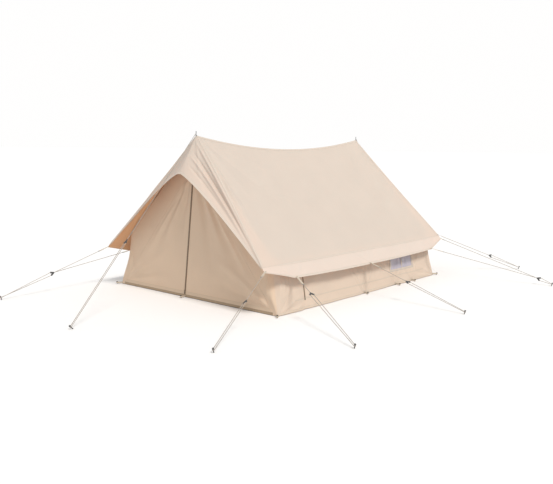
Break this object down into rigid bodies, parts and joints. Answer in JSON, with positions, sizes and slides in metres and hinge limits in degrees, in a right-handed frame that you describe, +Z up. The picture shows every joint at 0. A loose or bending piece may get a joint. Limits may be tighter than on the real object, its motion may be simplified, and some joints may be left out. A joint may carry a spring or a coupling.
{
  "type": "two-pole ridge tent",
  "caption": "Canvas ridge tent on two upright poles, with low side walls, an overhang at each end, a zipped door in the front wall, side windows and taut guy ropes.",
  "frame": {"origin": "on the ground, under the middle of the ridge, at the centre of the tent without its guy ropes", "axes": "+X across the tent towards the side with the cable slit, +Y along the ridge from the door to the rear wall, +Z up"},
  "size_m": [4.8046, 5.794, 1.615],
  "materials": {
    "roof_canvas": "cream cotton canvas, matt",
    "eave_canvas": "cream cotton canvas, matt, sewn flap",
    "wall_canvas": "cream cotton canvas, matt",
    "end_canvas": "tan cotton canvas, matt",
    "hem_tape": "brown woven tape",
    "zip_tape": "brown woven zip tape with a nylon coil",
    "window_frame": "canvas binding",
    "window_film": "grey see-through film and mesh",
    "groundsheet": "dark grey coated sheet",
    "pole_tube": "galvanised steel tube",
    "pole_foot": "black rubber",
    "pole_spike": "turned steel",
    "zip_metal": "dark bronze painted metal",
    "webbing": "beige woven webbing",
    "ring_metal": "zinc-plated steel wire",
    "runner_plastic": "dark grey moulded plastic",
    "peg_steel": "dark galvanised steel",
    "guy_rope": "pale grey-beige braided rope"
  },
  "bodies": {
    "tent": {"bridle_front_left": "guy_rope", "bridle_left_rear": "guy_rope", "bridle_right_rear": "guy_rope", "door_threshold": "hem_tape", "eave_flap_left": "eave_canvas", "eave_flap_right": "eave_canvas", "eave_rings": "ring_metal", "eave_straps": "webbing", "front_beak": "roof_canvas", "front_peak_washer": "pole_spike", "front_pole_foot": "pole_foot", "front_pole_lower": "pole_tube", "front_pole_middle": "pole_tube", "front_pole_spike": "pole_spike", "front_pole_upper": "pole_tube", "front_wall_left": "end_canvas", "front_wall_right": "end_canvas", "groundsheet": "groundsheet", "guy_front_left": "guy_rope", "guy_front_peak": "guy_rope", "guy_front_right": "guy_rope", "guy_left_middle": "guy_rope", "guy_left_rear": "guy_rope", "guy_pegs": "peg_steel", "guy_rear_left": "guy_rope", "guy_rear_peak": "guy_rope", "guy_rear_right": "guy_rope", "guy_right_front": "guy_rope", "guy_right_middle": "guy_rope", "guy_right_rear": "guy_rope", "guy_runners": "runner_plastic", "hem_loops": "webbing", "rear_beak": "roof_canvas", "rear_peak_washer": "pole_spike", "rear_pole_foot": "pole_foot", "rear_pole_lower": "pole_tube", "rear_pole_middle": "pole_tube", "rear_pole_spike": "pole_spike", "rear_pole_upper": "pole_tube", "rear_wall": "end_canvas", "roof_panel_left": "roof_canvas", "roof_panel_right": "roof_canvas", "side_wall_left": "wall_canvas", "side_wall_right": "wall_canvas", "slit_zip": "zip_tape", "wall_pegs": "peg_steel", "window_frame_left": "window_frame", "window_frame_right": "window_frame", "window_mesh_left": "window_film", "window_mesh_right": "window_film"},
    "left_leaf": {"front_door_left": "end_canvas", "door_zip_left": "zip_tape"},
    "right_leaf": {"front_door_right": "end_canvas", "door_zip_right": "zip_tape"},
    "door_pull": {"door_slider": "zip_metal"},
    "slit_pull": {"slit_slider": "zip_metal"}
  },
  "joints": [
    {"name": "left_leaf_hinge", "type": "hinge", "parent": "tent", "child": "left_leaf", "pos_m": [-1.044, -1.42207, 0.03009], "axis": [-0.6351, -0.0238, -0.7721], "range_deg": [0, 80]},
    {"name": "right_leaf_hinge", "type": "hinge", "parent": "tent", "child": "right_leaf", "pos_m": [1.044, -1.42207, 0.03009], "axis": [-0.6351, 0.0238, 0.7721], "range_deg": [0, 80]},
    {"name": "door_zip_run", "type": "slide", "parent": "left_leaf", "child": "door_pull", "axis": [0.0746, 0.0307, 0.9967], "range_m": [0, 1.18]},
    {"name": "slit_zip_run", "type": "slide", "parent": "tent", "child": "slit_pull", "axis": [-0.1542, 0, 0.988], "range_m": [0, 0.19]}
  ]
}
